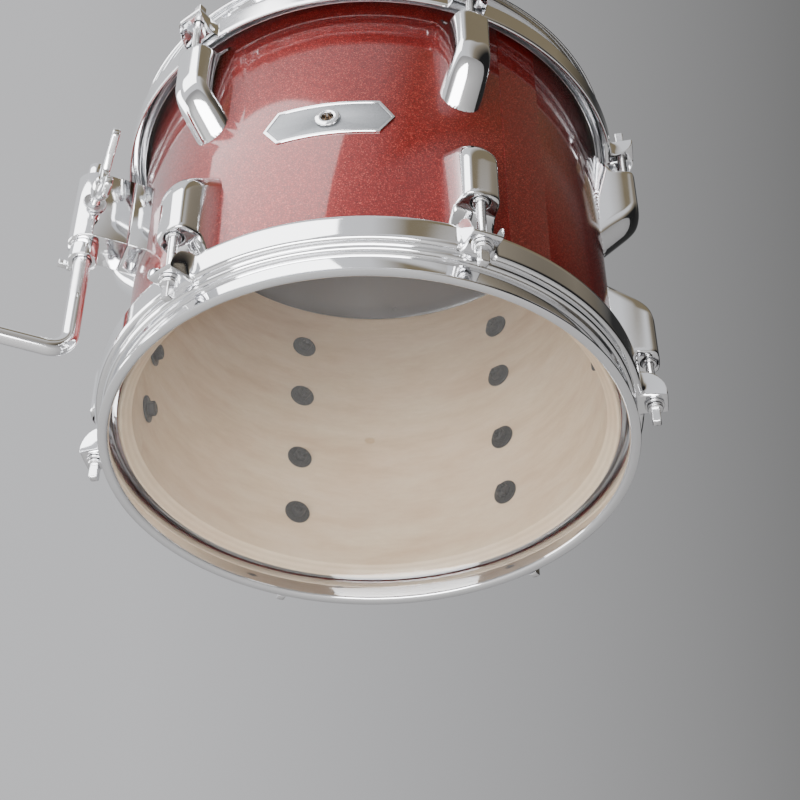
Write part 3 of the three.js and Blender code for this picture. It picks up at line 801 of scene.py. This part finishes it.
def build_bracket():
    block = [(BRACKET_INNER, -BRACKET_HALF), (BRACKET_OUTER, -BRACKET_HALF),
             (BRACKET_OUTER, BRACKET_HALF), (BRACKET_INNER, BRACKET_HALF)]
    base = extruded("bracket_base", block, BRACKET_LOW, BRACKET_HIGH, 0.9)
    pocket = extruded("pocket", filleted([(155.6, -8), (161.6, -8), (161.6, 8), (155.6, 8)], 1.2, 4, True),
                      BRACKET_LOW - 3, BRACKET_LOW + 3, 0)
    drum = cylinder(WRAP_OUTER + 0.1, -50, 300, 256)
    base = combined(combined(base, [(pocket, Matrix())]), [(drum, Matrix())])
    piece("bracket_foot", base, BRACKET, CHROME, nodes=["bracket_base"])

    outline = [(CLAMP_INNER, -BRACKET_HALF)]
    outline += arc(HOLDER_CIRCLE - 2, 0, BRACKET_HALF, -90, 90, 28) + [(CLAMP_INNER, BRACKET_HALF)]
    clamp = extruded("bracket_clamp", outline, BRACKET_LOW, BRACKET_HIGH, 0.9)
    bore = cylinder(HOLDER_RADIUS + 0.5, 80, 160, 64)
    clamp = combined(clamp, [(bore, shift(HOLDER_CIRCLE, 0, 0))])
    screw_bore = cylinder(3.5, 0, 30, 48), shift(HOLDER_CIRCLE, 0, WING_HEIGHT) @ along_y()
    piece("bracket_jaw", combined(clamp, [screw_bore]), BRACKET, CHROME, nodes=["bracket_clamp"])

    around = 72
    hexagon = polygon_radius(np.arange(around) * TAU / around, 6, 5.1, 5.85)
    rings = [(136.6, 0.001), (136.6, 4.6), (137.0, hexagon * 0.96), (137.5, hexagon), (141.2, hexagon)]
    rings += [(141.3, 8.4), (141.5, 8.7), (142.4, 8.75), (142.6, 8.5), (142.65, 2.7)]
    rings += [(173, 2.7), (173, 0.001)]
    bolt = loft("bracket_bolt", rings, around, 35)
    for k, height in enumerate(BRACKET_BOLTS, 1):
        place = BRACKET @ shift(0, 0, height) @ along_x()
        piece(f"bracket_hex_bolt_{k}", bolt, place, BLACK, nodes=[f"bracket_bolt_{k}"])


def build_wing_screw():
    place = BRACKET @ shift(HOLDER_CIRCLE, 0, WING_HEIGHT) @ along_y()
    section = filleted([(3.4, 12.8), (7.2, 12.8), (7.2, 14.3), (3.4, 14.3)], 0.4, 3, True)
    washer = turned("clamp_washer", section, 64)
    piece("screw_washer", washer, place, STEEL, "clamp_washer", ["clamp_washer"])

    around = 64
    rings = [(5.9, 0.001), (5.9, 2.2), (6.4, 2.8)] + thread_rings(2.88, 6.6, 19.4, 1.0, 0.4, around)
    rings += [(19.5, 4.0), (19.7, 4.4), (20.5, 4.6), (24, 5.5), (29, 5.5), (33, 4.8)]
    rings += [(34.6, 3.4), (35, 0.001)]
    shaft = loft("wing_shaft", rings, around, 45)
    half = [(4.6, 21.5), (13.5, 29.5), (26, 45.5), (25.5, 55.5), (19, 56.5), (10.5, 46), (3.4, 38.5)]
    outline = filleted(half + [(-x, z) for x, z in half[::-1]],
                       [1, 9, 7, 4, 4, 9, 3] + [3, 9, 4, 4, 7, 9, 1], 6, True)
    wings = extruded("wings", outline, -2.4, 2.4, 1.7, 4)
    upright = Matrix.Rotation(math.pi / 2, 4, "X")
    mesh = combined(shaft, [(wings, upright)], "UNION")
    mesh.transform(turn_z(WING_TILT))
    piece("wing_bolt", mesh, place, CHROME, "wing_screw", ["wing_screw"])


# ---- L-shaped holder rod with its knurled band ----
KNURL = (50.0, 79.0)       # heights of the band's ends
KNURL_FADE = 1.5           # length in which the knurl dies out at each end
KNURL_RIDGES = 24
KNURL_PITCH = 1.35         # height of one diamond


def rod_path():
    """Points down the upright, round the bend and out along the leg, each with its direction's angle."""
    bend_top = HOLDER_LEG + HOLDER_BEND
    heights = [HOLDER_TOP, HOLDER_TOP - 0.01, HOLDER_TOP - 0.4, HOLDER_TOP - 1.2]
    heights += [*np.arange(HOLDER_TOP - 6, KNURL[1], -6.0), *np.arange(KNURL[1], KNURL[0], -0.22)]
    heights += [*np.arange(KNURL[0], bend_top, -5.0)]
    path = [(HOLDER_CIRCLE, z, 0.0) for z in heights]
    for angle in np.radians(np.linspace(0, 90, 25)):
        path.append((HOLDER_CIRCLE + HOLDER_BEND * (1 - math.cos(angle)),
                     bend_top - HOLDER_BEND * math.sin(angle), angle))
    start = HOLDER_CIRCLE + HOLDER_BEND
    steps = [*np.arange(start + 6, HOLDER_REACH - 2, 6.0), HOLDER_REACH - 1.2, HOLDER_REACH - 0.4]
    steps += [HOLDER_REACH - 0.01, HOLDER_REACH]
    return path + [(u, HOLDER_LEG, math.pi / 2) for u in steps]


def build_holder_rod():
    around = 96
    swing = np.arange(around) * TAU / around
    path = rod_path()
    ends = {0: 0.001, 1: HOLDER_RADIUS - 1.2, 2: HOLDER_RADIUS - 0.35, 3: HOLDER_RADIUS}
    points = []
    for k, (u, z, angle) in enumerate(path):
        radius = np.full(around, ends.get(min(k, len(path) - 1 - k), HOLDER_RADIUS))
        if KNURL[0] < z < KNURL[1] and angle == 0:
            fade = min(1, (z - KNURL[0]) / KNURL_FADE, (KNURL[1] - z) / KNURL_FADE)
            turn, rise = swing * KNURL_RIDGES / TAU, z / KNURL_PITCH
            ridge = np.minimum(np.abs((turn + rise) % 1 - 0.5), np.abs((turn - rise) % 1 - 0.5))
            radius = radius - 0.3 * fade * (1 - 2 * ridge) ** 2 * 0.7
        side = np.array([math.cos(angle), 0, math.sin(angle)])
        ring = np.array([u, 0, z]) + radius[:, None] * (
            np.cos(swing)[:, None] * side + np.sin(swing)[:, None] * np.array([0, 1, 0]))
        points.append(ring)
    mesh = make_mesh("holder_rod", np.vstack(points), grid_faces(len(path), around, False, True), 50)
    piece("l_rod", mesh, BRACKET, CHROME, "holder_rod", ["holder_rod"])


def build_memory_lock():
    """Split collar on the holder rod: a C whose two lips a square-headed screw draws together."""
    high = BRACKET_LOW - 0.3
    low = high - 12
    inner, outer, slit, lip, lip_end = HOLDER_RADIUS + 0.35, 8.6, 0.8, 4.0, -15.5
    lip_angle, slit_angle = math.degrees(math.acos(lip / outer)), math.degrees(math.acos(slit / inner))
    outline = [(slit, lip_end), (lip, lip_end)] + arc(0, 0, outer, -lip_angle, 180 + lip_angle, 40)
    outline += [(-lip, lip_end), (-slit, lip_end)] + arc(0, 0, inner, 180 + slit_angle, -slit_angle, 36)
    collar = extruded("memory_lock", outline, low, high, 0.45)
    middle = (low + high) / 2
    crossways = shift(0, -12, middle) @ along_x()
    collar = combined(collar, [(cylinder(2.2, -9, 9, 32), crossways)])
    place = BRACKET @ shift(HOLDER_CIRCLE, 0, 0)
    piece("lock_collar", collar, place, CHROME, "memory_lock", ["memory_lock"])

    around = 48
    square = polygon_radius(np.arange(around) * TAU / around, 4, 2.0, 2.6)
    rings = [(-6, 0.001), (-6, 1.4), (-5.6, 1.8), (4.3, 1.8), (4.35, 3.2), (4.7, 3.4), (6.7, 3.4), (7, 3.1)]
    rings += [(7.05, square * 0.98), (7.3, square), (11.9, square), (12.4, square * 0.85), (12.5, 0.001)]
    screw = loft("lock_screw", rings, around)
    piece("lock_square_screw", screw, place @ crossways, ROD_CHROME, "memory_lock", ["memory_lock_screw"])


# ---- floor, light and camera ----
FLOOR_HEIGHT = -0.8
CAMERA_PLACE = (0.1334, -0.7706, -0.6178)
CAMERA_TURN = 8.476           # degrees left of straight ahead, along +Y
CAMERA_RISE = 39.73
CAMERA_ROLL = -0.396
CAMERA_LENS = 74.1


def build_floor():
    mesh = bpy.data.meshes.new("floor")
    half = 6.0
    corners = [(-half, -half, 0), (half, -half, 0), (half, half, 0), (-half, half, 0)]
    mesh.from_pydata(corners, [], [(0, 1, 2, 3)])
    floor = bpy.data.objects.new("floor", mesh)
    bpy.context.scene.collection.objects.link(floor)
    floor.location.z = FLOOR_HEIGHT
    made, nodes, output = material("pale_floor")
    mottle = nodes.noise(3)
    shader = nodes.add("BsdfPrincipled", Roughness=0.7)
    nodes.feed(shader, "Base Color", nodes.mixed(mottle, (0.56, 0.55, 0.54), (0.6, 0.595, 0.59)))
    nodes.feed(output, "Surface", shader)
    mesh.materials.append(made)


def build_world():
    """Studio surroundings: bright at the left, dark at the right, a brown ceiling and a graded backdrop."""
    world = bpy.data.worlds.new("studio")
    bpy.context.scene.world = world
    world.use_nodes = True
    world.node_tree.nodes.clear()
    nodes = Nodes(world.node_tree)
    xyz = nodes.add("SeparateXYZ", Vector=nodes.add("TexCoord").outputs["Generated"])
    x, y, z = xyz.outputs
    side = nodes.maths("MULTIPLY_ADD", x, 0.5, 0.5)
    room = nodes.ramp(side, (0.0, (1, 1, 1.02)), (0.45, (0.97, 0.98, 1.02)), (0.72, (0.85, 0.85, 0.86)),
                      (0.82, (0.3, 0.26, 0.2)), (0.93, (0.02, 0.02, 0.02)))
    rightwards = nodes.add("MapRange", Value=x, From_Min=0.12, From_Max=0.3)
    height = nodes.maths("MULTIPLY_ADD", x, -0.3, z)
    upwards = nodes.add("MapRange", Value=height, From_Min=0.55, From_Max=0.6)
    ceiling = nodes.maths("MULTIPLY", rightwards, upwards)
    warm_room = nodes.mixed(ceiling, room, (0.24, 0.2, 0.13))
    backdrop = nodes.ramp(side, (0.0, (0.9, 0.91, 0.93)), (0.36, (0.68, 0.68, 0.7)),
                          (0.48, (0.42, 0.42, 0.43)), (0.58, 0.18), (0.7, 0.04), (1.0, 0.02))
    behind = nodes.add("MapRange", Value=y, From_Min=0.2, From_Max=0.5)
    across = nodes.mixed(behind, warm_room, backdrop)
    shader = nodes.add("Background", Strength=0.95)
    nodes.feed(shader, "Color", across)
    nodes.feed(nodes.add("OutputWorld"), "Surface", shader)


def area_light(name, place, target, size, power, colour=(1, 1, 1)):
    light = bpy.data.lights.new(name, "AREA")
    light.shape, light.size, light.size_y = "RECTANGLE", size[0], size[1]
    light.energy = power
    light.color = colour
    lamp = bpy.data.objects.new(name, light)
    bpy.context.scene.collection.objects.link(lamp)
    lamp.location = place
    aim = Vector(target) - Vector(place)
    lamp.rotation_euler = aim.to_track_quat("-Z", "Y").to_euler()


def build_lights():
    area_light("key", (-1.2, -1.6, 1.45), (0, 0, 0.1), (2.2, 1.6), 54)
    area_light("low_front", (-0.15, -0.98, -0.6), (0, 0.05, 0.1), (1.3, 0.45), 24)
    area_light("left", (-1.9, -0.2, 0.3), (0, 0, 0.1), (0.8, 1.6), 26)


def build_camera():
    camera = bpy.data.objects.new("camera", bpy.data.cameras.new("camera"))
    bpy.context.scene.collection.objects.link(camera)
    camera.data.lens = CAMERA_LENS
    camera.data.sensor_width = 36
    camera.data.clip_start = 0.01
    camera.matrix_world = (
        Matrix.Translation(CAMERA_PLACE) @ turn_z(CAMERA_TURN)
        @ Matrix.Rotation(math.radians(90 + CAMERA_RISE), 4, "X") @ turn_z(CAMERA_ROLL))
    bpy.context.scene.camera = camera


build_camera()
build_world()
build_lights()
build_floor()
build_shell()
build_heads()
build_hoops()
build_lugs_and_rods()
build_badge()
build_bracket()
build_wing_screw()
build_holder_rod()
build_memory_lock()
